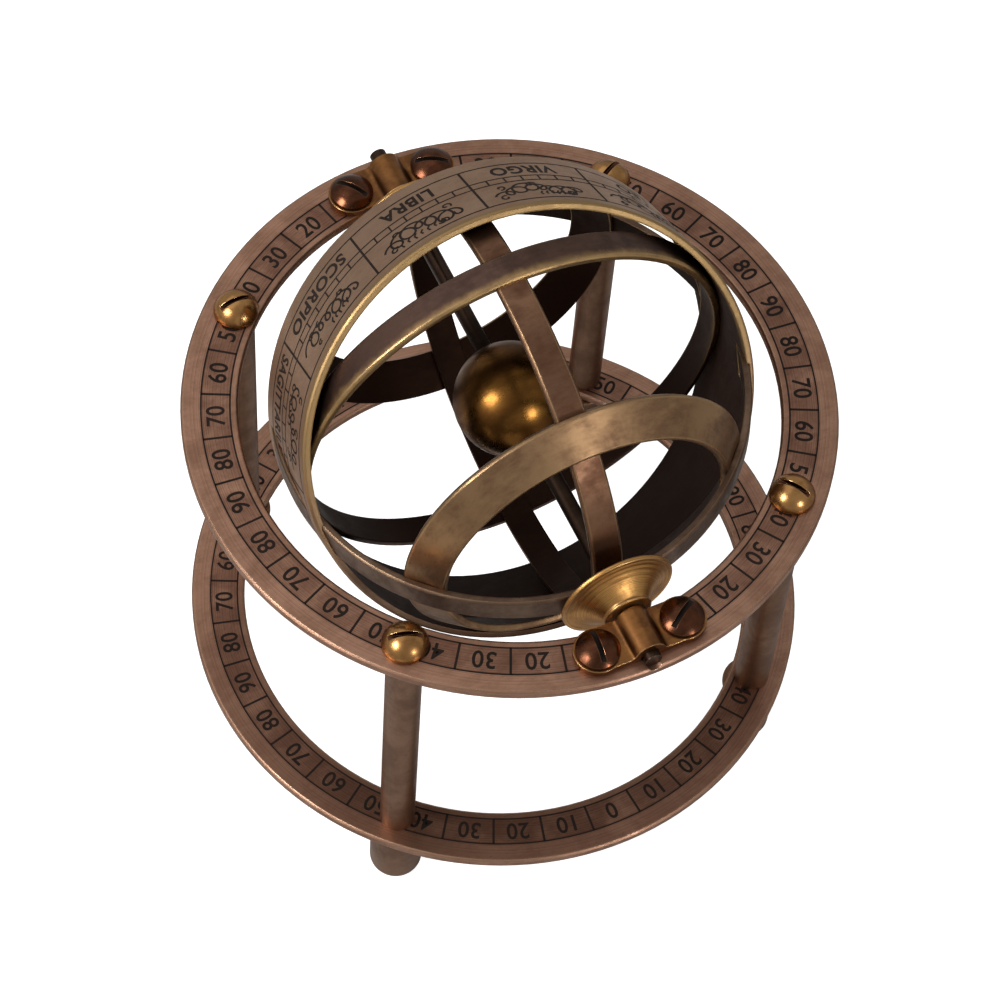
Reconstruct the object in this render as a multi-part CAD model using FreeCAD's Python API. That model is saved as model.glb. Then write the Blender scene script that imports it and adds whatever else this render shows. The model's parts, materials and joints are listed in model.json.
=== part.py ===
import FreeCAD, Part
import math
import os

# A small brass armillary sphere.  Two flat scale rings and four pillars make
# the stand, and the sphere of rings turns on a polar axle held by two saddles.
# Millimetres, +Z up.  The origin lies on the table, on the stand's centre line,
# and the axle runs along Y with its front end at -Y.

V = FreeCAD.Vector
UP = V(0, 0, 1)
ACROSS = V(1, 0, 0)
ALONG = V(0, 1, 0)
CENTRE = V(0, 0, 0)

# ---- the stand ----
SCALE_OUTER_R = 57.0
SCALE_INNER_R = 47.1
SCALE_THICK = 2.0
SCALE_EDGE_BREAK = 0.35
PILLAR_R = 3.175
PILLAR_LENGTH = 62.7
PILLAR_CIRCLE_R = 51.2
PILLAR_ANGLES = {"front_right": -45, "rear_right": 45, "rear_left": 135, "front_left": 225}
FOOT_HEIGHT = 16.0
FOOT_R = 4.8
FOOT_COLLAR_R = 5.2
FOOT_COLLAR_THICK = 1.2
FOOT_EDGE_R = 2.8
STUD_R = 1.5
STUD_DEPTH = 7.0
BORE_SPARE = 1.0

# ---- the domed slotted screws ----
CAP_HEAD_R = 4.0
CAP_HEAD_H = 3.5
CAP_RIM_H = 0.5
CAP_SLOTS = {"front_right": 127, "rear_right": 29, "rear_left": 2, "front_left": 162}
SLOT_WIDTH = 0.9
SLOT_DEPTH = 1.2
SADDLE_HEAD_R = 3.8
SADDLE_HEAD_H = 2.3
SADDLE_SCREW_R = 1.25
SADDLE_SLOTS = {"front_left": 84, "front_right": 33, "rear_left": 129, "rear_right": 157}

# ---- the polar axle and its saddles ----
AXLE_R = 1.5
AXLE_RISE = 1.0
AXLE_FRONT_END = 56.0
AXLE_REAR_END = 57.0
BEARING_PLAY = 0.05
SADDLE_THICK = 1.3
SADDLE_DEPTH = 8.0
SADDLE_Y = 50.7
SADDLE_SCREW_X = 7.8
SADDLE_EAR_R = 4.2
SADDLE_BEND_R = 1.0

# ---- the sphere of rings ----
REST_TURN = -4.0
STRIP_WIDTH = 5.4
STRIP_THICK = 1.3
UPRIGHT_R = 39.0
LEVEL_R = 41.5
LAP_DEPTH = STRIP_THICK / 2
EQUATOR_R = UPRIGHT_R + LAP_DEPTH
EQUATOR_SHIFT = 1.0
ZODIAC_SEAT = 0.15
ZODIAC_R = EQUATOR_R + STRIP_THICK - ZODIAC_SEAT
ZODIAC_WIDTH = 21.6
ZODIAC_CORE_WIDTH = ZODIAC_WIDTH / 2
ZODIAC_TILT = 30.5
ZODIAC_TURN = -2.5
ZODIAC_SHIFT = -0.6
CIRCLE_LATITUDE = 43.7
CIRCLE_WIDTH = 7.5
CIRCLE_SEAT = 0.12
STRIP_EDGE_R = 0.35
BALL_R = 10.1

# ---- the flared cups between the sphere and the saddles ----
CUP_RIM_R = 10.2
CUP_HUB_R = 4.4
CUP_BACK_Y = LEVEL_R + 0.05
CUP_RIM_THICK = 0.8
CUP_LENGTH = 4.8

BASE_Z = FOOT_HEIGHT
PILLAR_Z = BASE_Z + SCALE_THICK
TOP_Z = PILLAR_Z + PILLAR_LENGTH
DECK_Z = TOP_Z + SCALE_THICK
AXLE_Z = DECK_Z + AXLE_RISE
MIDDLE = V(0, 0, AXLE_Z)


def on_circle(radius, degrees, z=0.0):
    """A point at a radius and a compass angle in the level plane."""
    angle = math.radians(degrees)
    return V(radius * math.cos(angle), radius * math.sin(angle), z)


def rod(radius, length, start, direction=UP):
    """A plain round bar."""
    return Part.makeCylinder(radius, length, start, direction)


def turned(profile, start, direction):
    """A solid turned from (radius, distance) points about an axis along Z, then aimed."""
    outline = Part.makePolygon([V(r, 0, h) for r, h in profile + profile[:1]])
    solid = Part.Face(outline).revolve(CENTRE, UP, 360)
    solid.Placement = FreeCAD.Placement(start, FreeCAD.Rotation(UP, direction))
    return solid


def clean(shape):
    """The single solid left after cuts, with split faces merged."""
    solids = shape.removeSplitter().Solids
    if len(solids) != 1:
        print("in", len(solids), "pieces, volumes", [round(s.Volume, 2) for s in solids])
    return max(solids, key=lambda solid: solid.Volume)


# ---------------------------------------------------------------- the stand

def scale_ring(z):
    """A flat washer-like ring with both rims slightly chamfered, centred on the stand."""
    edge = SCALE_EDGE_BREAK
    profile = [
        (SCALE_INNER_R, edge),
        (SCALE_INNER_R + edge, 0),
        (SCALE_OUTER_R - edge, 0),
        (SCALE_OUTER_R, edge),
        (SCALE_OUTER_R, SCALE_THICK - edge),
        (SCALE_OUTER_R - edge, SCALE_THICK),
        (SCALE_INNER_R + edge, SCALE_THICK),
        (SCALE_INNER_R, SCALE_THICK - edge),
    ]
    ring = turned(profile, V(0, 0, z), UP)
    for angle in PILLAR_ANGLES.values():
        hole = on_circle(PILLAR_CIRCLE_R, angle, z - 1)
        ring = ring.cut(rod(STUD_R, SCALE_THICK + 2, hole))
    return ring


def base_ring():
    return clean(scale_ring(BASE_Z))


def top_ring():
    """The upper ring also carries the saddle threads and two half-round axle grooves."""
    ring = scale_ring(TOP_Z)
    groove_r = AXLE_R + BEARING_PLAY
    groove = rod(groove_r, 2 * SCALE_OUTER_R + 10, V(0, -SCALE_OUTER_R - 5, AXLE_Z), ALONG)
    ring = ring.cut(groove)
    for x, y in saddle_screw_places().values():
        ring = ring.cut(rod(SADDLE_SCREW_R, SCALE_THICK + 2, V(x, y, TOP_Z - 1)))
    return clean(ring)


def pillar(angle):
    """A round pillar, tapped at both ends for the foot stud and the cap screw."""
    foot = on_circle(PILLAR_CIRCLE_R, angle, PILLAR_Z)
    head = on_circle(PILLAR_CIRCLE_R, angle, TOP_Z)
    bore = STUD_DEPTH + BORE_SPARE
    post = rod(PILLAR_R, PILLAR_LENGTH, foot)
    post = post.cut(rod(STUD_R, bore, foot))
    return clean(post.cut(rod(STUD_R, bore, head, -UP)))


def foot(angle):
    """A turned foot: a collar under the ring, a round-ended barrel and a stud."""
    base = on_circle(PILLAR_CIRCLE_R, angle)
    barrel = rod(FOOT_R, FOOT_HEIGHT, base)
    lower_rim = [e for e in barrel.Edges if e.BoundBox.ZMax < 0.01]
    barrel = barrel.makeFillet(FOOT_EDGE_R, lower_rim)
    collar = rod(FOOT_COLLAR_R, FOOT_COLLAR_THICK, base + V(0, 0, FOOT_HEIGHT - FOOT_COLLAR_THICK))
    stud = rod(STUD_R, SCALE_THICK + STUD_DEPTH, base + V(0, 0, FOOT_HEIGHT))
    return clean(barrel.fuse(collar).fuse(stud))


def domed_screw(head_r, head_h, shank_r, shank_length, place, slot_angle):
    """A mushroom-headed screw with one straight slot, its shank pointing down."""
    dome_h = head_h - CAP_RIM_H
    ball_r = (head_r ** 2 + dome_h ** 2) / (2 * dome_h)
    ball = Part.makeSphere(ball_r, place + V(0, 0, head_h - ball_r))
    head = rod(head_r, head_h, place).common(ball)
    slot = Part.makeBox(4 * head_r, SLOT_WIDTH, 2 * SLOT_DEPTH)
    slot.translate(V(-2 * head_r, -SLOT_WIDTH / 2, head_h - SLOT_DEPTH))
    slot.rotate(CENTRE, UP, slot_angle)
    slot.translate(place)
    shank = rod(shank_r, shank_length, place, -UP)
    return clean(head.cut(slot).fuse(shank))


def cap_screw(corner):
    """The golden screw that clamps the top ring down on one pillar."""
    place = on_circle(PILLAR_CIRCLE_R, PILLAR_ANGLES[corner], DECK_Z)
    length = SCALE_THICK + STUD_DEPTH
    return domed_screw(CAP_HEAD_R, CAP_HEAD_H, STUD_R, length, place, CAP_SLOTS[corner])


# ------------------------------------------------------- saddles and screws

def saddle_screw_places():
    """Where the four saddle screws stand, by name."""
    places = {}
    for end, y in (("front", -SADDLE_Y), ("rear", SADDLE_Y)):
        places[end + "_left"] = (-SADDLE_SCREW_X, y)
        places[end + "_right"] = (SADDLE_SCREW_X, y)
    return places


def saddle(y):
    """A strap bent over the axle, with a rounded ear on each side."""
    bore_r = AXLE_R + BEARING_PLAY
    arch_r = bore_r + SADDLE_THICK
    start = V(0, y - SADDLE_DEPTH / 2, AXLE_Z)
    ears = Part.makeBox(2 * SADDLE_SCREW_X, SADDLE_DEPTH, SADDLE_THICK)
    ears.translate(V(-SADDLE_SCREW_X, y - SADDLE_DEPTH / 2, DECK_Z))
    for side in (-1, 1):
        ears = ears.fuse(rod(SADDLE_EAR_R, SADDLE_THICK, V(side * SADDLE_SCREW_X, y, DECK_Z)))
    arch = rod(arch_r, SADDLE_DEPTH, start, ALONG)
    shoulders = Part.makeBox(2 * arch_r, SADDLE_DEPTH, AXLE_RISE)
    shoulders.translate(V(-arch_r, y - SADDLE_DEPTH / 2, DECK_Z))
    strap = ears.fuse(arch).fuse(shoulders)
    strap = blend_arch(strap.removeSplitter(), arch_r)
    below = Part.makeBox(8 * arch_r, 2 * SADDLE_DEPTH, 4 * arch_r)
    below.translate(V(-4 * arch_r, y - SADDLE_DEPTH, DECK_Z - 4 * arch_r))
    strap = strap.cut(below).cut(rod(bore_r, 2 * SADDLE_DEPTH, start - ALONG * SADDLE_DEPTH / 2, ALONG))
    mouth = Part.makeBox(2 * bore_r, 2 * SADDLE_DEPTH, AXLE_RISE)
    mouth.translate(V(-bore_r, y - SADDLE_DEPTH, DECK_Z))
    strap = strap.cut(mouth)
    for side in (-1, 1):
        hole = V(side * SADDLE_SCREW_X, y, DECK_Z - 1)
        strap = strap.cut(rod(SADDLE_SCREW_R, SADDLE_THICK + 2, hole))
    return clean(strap)


def blend_arch(strap, arch_r):
    """Rounds the inner corners where the arch meets the flat ears."""
    corners = []
    for edge in strap.Edges:
        box = edge.BoundBox
        straight = box.YLength > SADDLE_DEPTH * 0.9 and box.XLength < 0.01 and box.ZLength < 0.01
        at_ear_top = abs(box.ZMax - DECK_Z - SADDLE_THICK) < 0.01
        if straight and at_ear_top and abs(abs(box.XMax) - arch_r) < 0.3:
            corners.append(edge)
    return strap.makeFillet(SADDLE_BEND_R, corners) if corners else strap


def saddle_screw(name):
    """A coppery screw through a saddle ear into the top ring."""
    x, y = saddle_screw_places()[name]
    place = V(x, y, DECK_Z + SADDLE_THICK)
    length = SADDLE_THICK + SCALE_THICK
    slot = SADDLE_SLOTS[name]
    return domed_screw(SADDLE_HEAD_R, SADDLE_HEAD_H, SADDLE_SCREW_R, length, place, slot)


# ---------------------------------------------------------------- the sphere

def strip_ring(outer_r, width, axis, shift=0.0):
    """A flat strip rolled into a hoop about an axis, its middle shifted along that axis."""
    inner_r = outer_r - STRIP_THICK
    edge = STRIP_EDGE_R
    half = width / 2
    profile = [
        (inner_r, -half),
        (outer_r - edge, -half),
        (outer_r, -half + edge),
        (outer_r, half - edge),
        (outer_r - edge, half),
        (inner_r, half),
    ]
    return turned(profile, MIDDLE + axis * shift, axis)


def cone_ring(side):
    """A hoop that lies on the sphere at a fixed latitude, front (-1) or rear (+1)."""
    angle = math.radians(CIRCLE_LATITUDE)
    inner = UPRIGHT_R - CIRCLE_SEAT
    outer = inner + STRIP_THICK
    half = CIRCLE_WIDTH / 2
    edge = STRIP_EDGE_R
    section = [
        (inner, -half),
        (outer - edge, -half),
        (outer, -half + edge),
        (outer, half - edge),
        (outer - edge, half),
        (inner, half),
    ]
    profile = []
    for reach, slide in section:
        radius = reach * math.cos(angle) - slide * math.sin(angle)
        height = reach * math.sin(angle) + slide * math.cos(angle)
        profile.append((radius, height))
    return turned(profile, MIDDLE, ALONG * side)


def zodiac_axis():
    """The zodiac's own axis, leaning so the hoop's top goes to the rear."""
    lean = FreeCAD.Rotation(ALONG, ZODIAC_TURN) * FreeCAD.Rotation(ACROSS, -ZODIAC_TILT)
    return lean.multVec(ALONG)


def sphere_rings():
    """All six hoops, seated into each other wherever two of them cross.

    The level colure runs over the middle of the zodiac and through notches
    in both its edges, so each of the two stays in one piece.
    """
    band_core = strip_ring(ZODIAC_R, ZODIAC_CORE_WIDTH, zodiac_axis(), ZODIAC_SHIFT)
    level = strip_ring(LEVEL_R, STRIP_WIDTH, UP).cut(band_core)
    zodiac = strip_ring(ZODIAC_R, ZODIAC_WIDTH, zodiac_axis(), ZODIAC_SHIFT).cut(level)
    equator = strip_ring(EQUATOR_R, STRIP_WIDTH, ALONG, EQUATOR_SHIFT).cut(zodiac)
    circles = [cone_ring(side).cut(zodiac) for side in (-1, 1)]
    outer_hoops = zodiac.fuse(equator).fuse(circles[0]).fuse(circles[1])
    spindle = rod(AXLE_R, 3 * LEVEL_R, MIDDLE - ALONG * 1.5 * LEVEL_R, ALONG)
    upright = strip_ring(UPRIGHT_R, STRIP_WIDTH, ACROSS)
    rings = {
        "colure_upright": upright.cut(outer_hoops).cut(spindle),
        "colure_level": level.cut(circles[0]).cut(circles[1]).cut(spindle),
        "equator_ring": equator,
        "zodiac_band": zodiac,
        "front_circle": circles[0],
        "rear_circle": circles[1],
    }
    return {name: clean(turn_to_rest(ring)) for name, ring in rings.items()}


def turn_to_rest(shape):
    """Turns a part of the sphere about the axle to where it is left standing."""
    turned_shape = shape.copy()
    turned_shape.rotate(MIDDLE, ALONG, REST_TURN)
    return turned_shape


def polar_axle():
    return rod(AXLE_R, AXLE_FRONT_END + AXLE_REAR_END, MIDDLE - ALONG * AXLE_FRONT_END, ALONG)


def earth_ball():
    """The middle ball, bored through and pressed on the axle."""
    ball = Part.makeSphere(BALL_R, MIDDLE)
    return clean(ball.cut(rod(AXLE_R, 4 * BALL_R, MIDDLE - ALONG * 2 * BALL_R, ALONG)))


def flared_cup(side):
    """A spun cup on the axle: a wide flared rim by the sphere, a narrow hub by the saddle."""
    rim_top = V(CUP_RIM_R, 0, CUP_RIM_THICK)
    hub_foot = V(CUP_HUB_R, 0, CUP_LENGTH * 0.85)
    waist = V(CUP_HUB_R + (CUP_RIM_R - CUP_HUB_R) * 0.38, 0, CUP_LENGTH * 0.40)
    flare = Part.Arc(rim_top, waist, hub_foot).toShape()
    back = [V(AXLE_R, 0, 0), V(CUP_RIM_R - 0.3, 0, 0), V(CUP_RIM_R, 0, 0.3), rim_top]
    tail = [hub_foot, V(CUP_HUB_R, 0, CUP_LENGTH), V(AXLE_R, 0, CUP_LENGTH), back[0]]
    outline = Part.Wire([*Part.makePolygon(back).Edges, flare, *Part.makePolygon(tail).Edges])
    cup = Part.Face(outline).revolve(CENTRE, UP, 360)
    start = MIDDLE + ALONG * side * CUP_BACK_Y
    cup.Placement = FreeCAD.Placement(start, FreeCAD.Rotation(UP, ALONG * side))
    return cup.Solids[0] if cup.Solids else Part.Solid(cup)


def all_parts():
    """Every sub-part of the armillary sphere, by node name."""
    parts = {"base_ring": base_ring(), "top_ring": top_ring()}
    for corner, angle in PILLAR_ANGLES.items():
        parts["pillar_" + corner] = pillar(angle)
        parts["foot_" + corner] = foot(angle)
        parts["cap_screw_" + corner] = cap_screw(corner)
    for name in saddle_screw_places():
        parts["saddle_screw_" + name] = saddle_screw(name)
    parts["saddle_front"] = saddle(-SADDLE_Y)
    parts["saddle_rear"] = saddle(SADDLE_Y)
    parts["polar_axle"] = polar_axle()
    parts["earth_ball"] = earth_ball()
    parts["cup_front"] = flared_cup(-1)
    parts["cup_rear"] = flared_cup(1)
    parts.update(sphere_rings())
    return parts


os.makedirs("parts", exist_ok=True)
for node, shape in all_parts().items():
    shape.exportStep("parts/" + node + ".step")
    print(node, "volume %.1f" % shape.Volume, "valid", shape.isValid())
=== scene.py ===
# %% [markdown]
# # A small brass armillary sphere
#
# The object is a desk instrument: two flat engraved rings joined by four
# pillars, and a sphere of brass hoops that turns on an axle between two
# saddles. The measured CAD parts arrive first and stay exactly where they
# are. Everything made in this lesson is placed from their measurements.

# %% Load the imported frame
import json
import math
import random

import bpy
from mathutils import Matrix, Vector


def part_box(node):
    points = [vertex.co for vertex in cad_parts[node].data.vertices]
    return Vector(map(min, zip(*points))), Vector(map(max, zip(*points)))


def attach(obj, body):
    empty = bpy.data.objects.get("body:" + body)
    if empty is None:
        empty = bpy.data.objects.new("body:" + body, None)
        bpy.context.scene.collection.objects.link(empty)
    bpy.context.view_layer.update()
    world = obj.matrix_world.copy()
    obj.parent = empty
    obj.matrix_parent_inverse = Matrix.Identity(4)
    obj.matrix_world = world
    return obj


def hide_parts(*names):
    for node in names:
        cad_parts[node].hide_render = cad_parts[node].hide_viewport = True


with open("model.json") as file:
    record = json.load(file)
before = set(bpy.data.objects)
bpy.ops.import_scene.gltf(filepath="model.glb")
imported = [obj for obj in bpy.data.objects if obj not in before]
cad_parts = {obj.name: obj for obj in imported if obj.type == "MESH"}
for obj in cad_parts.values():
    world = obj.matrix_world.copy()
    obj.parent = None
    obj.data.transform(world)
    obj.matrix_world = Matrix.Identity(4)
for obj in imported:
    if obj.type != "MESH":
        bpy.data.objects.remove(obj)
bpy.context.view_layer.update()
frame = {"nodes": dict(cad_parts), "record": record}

mm = 0.001

# %% [markdown]
# ## Measure what is already there
#
# A good habit is to read sizes from the parts instead of typing them twice.
# The deck is the top face of each scale ring, and the middle of the sphere is
# the middle of its ball.

# %% Sizes read from the CAD parts
def middle(node):
    """The centre of a CAD part's box."""
    low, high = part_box(node)
    return (low + high) / 2


sphere_middle = middle("earth_ball")
top_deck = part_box("top_ring")[1].z
base_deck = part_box("base_ring")[1].z
corners = ("front_right", "rear_right", "rear_left", "front_left")
print("sphere middle", sphere_middle, "decks", top_deck, base_deck)

# %% [markdown]
# ## Small helpers
#
# Operators act on whatever is selected, so each helper starts by letting go of
# everything. `settle` bakes a piece's place into its mesh, so the finished
# object sits at the origin like the CAD parts do, and a material that reads
# object coordinates lines up from piece to piece.

# %% Selecting, joining and settling pieces
def let_go():
    """Leaves edit mode and deselects everything."""
    if bpy.context.object and bpy.context.object.mode != "OBJECT":
        bpy.ops.object.mode_set(mode="OBJECT")
    bpy.ops.object.select_all(action="DESELECT")


def pick(*objects):
    """Selects only these objects; the first becomes the active one."""
    let_go()
    for piece in objects:
        piece.select_set(True)
    bpy.context.view_layer.objects.active = objects[0]


def settle(piece):
    """Moves location, turn and scale into the mesh."""
    pick(piece)
    bpy.ops.object.transform_apply(location=True, rotation=True, scale=True)


def join(pieces):
    """One object from many."""
    pick(*pieces)
    if len(pieces) > 1:
        bpy.ops.object.join()
    return pieces[0]


def moved_copy(piece, matrix, name):
    """A copy with its own mesh, moved by a matrix."""
    twin = piece.copy()
    twin.data = piece.data.copy()
    twin.data.transform(matrix)
    twin.name = name
    bpy.context.collection.objects.link(twin)
    return twin


def belongs(piece, name, body, material):
    """Names a finished piece, gives it its finish and lets it ride on a CAD body."""
    piece.name = name
    piece.data.name = name
    piece.data.materials.clear()
    piece.data.materials.append(material)
    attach(piece, body)

# %% [markdown]
# ## Shared effects as node groups
#
# Old brass is one metal in many moods: brown where air and fingers have
# darkened it, golden where it is rubbed. Painting this by hand on thirty parts
# would be slow. Instead each effect is a node group with named inputs, built
# once. *Patina* mottles three colours, *Rubbed edges* finds sharp corners and
# *Hollow side* tells the inside of a hoop from the outside. *Turned grooves*
# draws the fine lathe lines of a spun part, and *Faced lines* draws those of a
# flat ring. *Gilded rim* brightens one rim of a hoop, partly as rubbed brass and
# partly as a painted highlight that is strongest at the top, and *Ring band*
# finds the grimy band that holds the scale.

# %% A tiny kit for wiring nodes
def new_group(name, inputs, outputs):
    """A node group with named sockets: inputs and outputs map a name to (kind, value)."""
    tree = bpy.data.node_groups.new(name, "ShaderNodeTree")
    for label, (kind, value) in inputs.items():
        socket = tree.interface.new_socket(label, in_out="INPUT", socket_type="NodeSocket" + kind)
        socket.default_value = value
    for label, kind in outputs.items():
        tree.interface.new_socket(label, in_out="OUTPUT", socket_type="NodeSocket" + kind)
    return tree, tree.nodes.new("NodeGroupInput"), tree.nodes.new("NodeGroupOutput")


def node(tree, kind, settings=None, **links):
    """Adds a shader node, sets its properties, and fills sockets by name or number."""
    made = tree.nodes.new("ShaderNode" + kind)
    for key, value in (settings or {}).items():
        setattr(made, key, value)
    for key, value in links.items():
        plug(tree, made, key.replace("_", " "), value)
    return made


def plug(tree, target, socket, value):
    """Links an output into a socket, or sets a plain value on it."""
    numbered = socket[0] == "n" and socket[1:].isdigit()
    place = target.inputs[int(socket[1:]) if numbered else socket]
    if isinstance(value, bpy.types.NodeSocket):
        tree.links.new(value, place)
    else:
        place.default_value = value


def maths(tree, operation, first, second=0.5, third=0.5, clamp=False):
    """One Math node; returns its result."""
    made = node(tree, "Math", {"operation": operation, "use_clamp": clamp}, n0=first, n1=second, n2=third)
    return made.outputs[0]


def vector_maths(tree, operation, first, second=(0, 0, 0)):
    """One Vector Math node; returns the vector, or the number where it makes one."""
    made = node(tree, "VectorMath", {"operation": operation}, n0=first, n1=second)
    return made.outputs["Value" if operation in ("DOT_PRODUCT", "LENGTH") else "Vector"]


def blend(tree, amount, first, second, kind="MIX"):
    """Mixes two colours."""
    made = node(tree, "Mix", {"data_type": "RGBA", "blend_type": kind}, Factor=amount)
    plug(tree, made, "n6", first)
    plug(tree, made, "n7", second)
    return made.outputs[2]


def ramp(tree, value, low, high):
    """A smooth step from 0 to 1 between two values."""
    made = node(tree, "MapRange", {"interpolation_type": "SMOOTHSTEP"}, Value=value)
    plug(tree, made, "From Min", low)
    plug(tree, made, "From Max", high)
    return made.outputs[0]


def here(tree):
    """The point on the object, in metres."""
    return node(tree, "TexCoord").outputs["Object"]


def noise(tree, where, scale, detail=4.0, roughness=0.55, warp=0.0):
    """Cloudy noise about a scale per metre."""
    made = node(tree, "TexNoise", Vector=where, Scale=scale, Detail=detail, Roughness=roughness,
                Distortion=warp)
    return made.outputs["Fac"]

# %% Patina
BLACK = (0.0, 0.0, 0.0, 1.0)
CLOUD_SHARE = 0.75
STREAK_SHARE = 0.25
OXIDE_SOFTNESS = 0.14
SPECKLE_SCALE = 2600.0
STREAK_SCALE = 420.0


def patina_group():
    """Clouds of oxide over metal, a fine speckle, and a height for the Bump node."""
    tree, given, out = new_group(
        "Patina",
        {"Metal": ("Color", BLACK), "Oxide": ("Color", BLACK), "Soot": ("Color", BLACK),
         "Cloud Scale": ("Float", 90.0), "Oxide Amount": ("Float", 0.5),
         "Roughness Low": ("Float", 0.3), "Roughness High": ("Float", 0.5)},
        {"Color": "Color", "Roughness": "Float", "Height": "Float"})
    place = here(tree)
    clouds = noise(tree, place, given.outputs["Cloud Scale"], 6.0, 0.6, 0.4)
    streaks = noise(tree, vector_maths(tree, "MULTIPLY", place, (1.0, 3.0, 1.0)), STREAK_SCALE, 5.0, 0.65)
    speckle = noise(tree, place, SPECKLE_SCALE, 3.0, 0.7)
    broad = maths(tree, "MULTIPLY", clouds, CLOUD_SHARE)
    lean = maths(tree, "ADD", broad, maths(tree, "MULTIPLY", streaks, STREAK_SHARE))
    level = maths(tree, "SUBTRACT", 1.0, given.outputs["Oxide Amount"])
    oxide_from = maths(tree, "SUBTRACT", level, OXIDE_SOFTNESS)
    oxide = ramp(tree, lean, oxide_from, maths(tree, "ADD", level, OXIDE_SOFTNESS))
    color = blend(tree, oxide, given.outputs["Metal"], given.outputs["Oxide"])
    pits = ramp(tree, speckle, 0.60, 0.78)
    color = blend(tree, maths(tree, "MULTIPLY", pits, 0.45), color, given.outputs["Soot"])
    low, high = given.outputs["Roughness Low"], given.outputs["Roughness High"]
    span = maths(tree, "SUBTRACT", high, low)
    rough = maths(tree, "ADD", low, maths(tree, "MULTIPLY", span, oxide))
    rough = maths(tree, "ADD", rough, maths(tree, "MULTIPLY", pits, 0.08))
    raised = maths(tree, "MULTIPLY", streaks, 0.5)
    height = maths(tree, "SUBTRACT", raised, maths(tree, "MULTIPLY", pits, 0.5))
    tree.links.new(color, out.inputs["Color"])
    tree.links.new(rough, out.inputs["Roughness"])
    tree.links.new(height, out.inputs["Height"])
    return tree


patina = patina_group()
print("node group", patina.name)

# %% Rubbed edges
def rubbed_edge_group():
    """Where the surface turns sharply within a small radius, the metal is rubbed bright."""
    tree, given, out = new_group(
        "Rubbed edges", {"Radius": ("Float", 0.0004), "Breakup": ("Float", 0.4)},
        {"Mask": "Float", "Normal": "Vector"})
    soft = node(tree, "Bevel", {"samples": 6}, Radius=given.outputs["Radius"])
    sharp = node(tree, "NewGeometry").outputs["Normal"]
    agree = vector_maths(tree, "DOT_PRODUCT", soft.outputs["Normal"], sharp)
    edge = ramp(tree, maths(tree, "SUBTRACT", 1.0, agree), 0.01, 0.12)
    patchy = ramp(tree, noise(tree, here(tree), 500.0, 4.0), 0.30, 0.62)
    keep = maths(tree, "SUBTRACT", 1.0, given.outputs["Breakup"])
    worn = maths(tree, "ADD", keep, maths(tree, "MULTIPLY", patchy, given.outputs["Breakup"]))
    tree.links.new(maths(tree, "MULTIPLY", edge, worn), out.inputs["Mask"])
    tree.links.new(soft.outputs["Normal"], out.inputs["Normal"])
    return tree


rubbed_edges = rubbed_edge_group()

# %% The hollow side of a hoop
def hollow_side_group():
    """1 where the surface faces the sphere's middle, 0 where it faces away."""
    tree, given, out = new_group("Hollow side", {"Middle": ("Vector", (0, 0, 0))}, {"Mask": "Float"})
    coordinates = node(tree, "TexCoord")
    out_from_middle = vector_maths(tree, "SUBTRACT", coordinates.outputs["Object"], given.outputs["Middle"])
    facing = vector_maths(tree, "DOT_PRODUCT", vector_maths(tree, "NORMALIZE", out_from_middle),
                          coordinates.outputs["Normal"])
    tree.links.new(ramp(tree, facing, -0.2, -0.7), out.inputs["Mask"])
    return tree


hollow_side = hollow_side_group()

# %% Turned grooves
def turned_groove_group():
    """Fine rings about an axis along Y: what a lathe tool or a polishing wheel leaves."""
    tree, given, out = new_group(
        "Turned grooves", {"Middle": ("Vector", (0, 0, 0)), "Pitch": ("Float", 9000.0)},
        {"Shade": "Float"})
    place = vector_maths(tree, "SUBTRACT", here(tree), given.outputs["Middle"])
    parts = node(tree, "SeparateXYZ", Vector=place)
    flat = node(tree, "CombineXYZ", X=parts.outputs["X"], Z=parts.outputs["Z"])
    distance = vector_maths(tree, "LENGTH", flat.outputs["Vector"])
    along = maths(tree, "ADD", distance, parts.outputs["Y"])
    line = node(tree, "CombineXYZ", X=maths(tree, "MULTIPLY", along, given.outputs["Pitch"]))
    rings = noise(tree, line.outputs["Vector"], 1.0, 3.0, 0.7)
    tree.links.new(rings, out.inputs["Shade"])
    return tree


turned_grooves = turned_groove_group()

# %% Rubbed rim with painted highlight, grimy ring band and faced lines
RIM_RAGGED = 2.2 * mm
BAND_SOFT = 0.4 * mm
LINE_WOBBLE = 0.4 * mm


def gilded_rim_group():
    """Grows from 0 to 1 along an axis between two distances: the rubbed rim of a hoop, with a painted
    highlight that is strongest at the top and fades out towards the bottom.
    """
    tree, given, out = new_group(
        "Rim rub and highlight",
        {"Middle": ("Vector", (0, 0, 0)), "Axis": ("Vector", (0, -1, 0)), "Start": ("Float", 0.0),
         "End": ("Float", 0.001)},
        {"Mask": "Float"})
    place = vector_maths(tree, "SUBTRACT", here(tree), given.outputs["Middle"])
    reach = vector_maths(tree, "DOT_PRODUCT", place, given.outputs["Axis"])
    uneven = maths(tree, "SUBTRACT", noise(tree, here(tree), 320.0, 5.0, 0.65), 0.5)
    ragged = maths(tree, "MULTIPLY", uneven, RIM_RAGGED)
    grown = ramp(tree, maths(tree, "ADD", reach, ragged), given.outputs["Start"], given.outputs["End"])
    # Painted highlight: the rim is bright only towards the top, where the light falls.
    lit = ramp(tree, node(tree, "SeparateXYZ", Vector=place).outputs["Z"], -0.012, 0.016)
    tree.links.new(maths(tree, "MULTIPLY", grown, lit), out.inputs["Mask"])
    return tree


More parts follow.
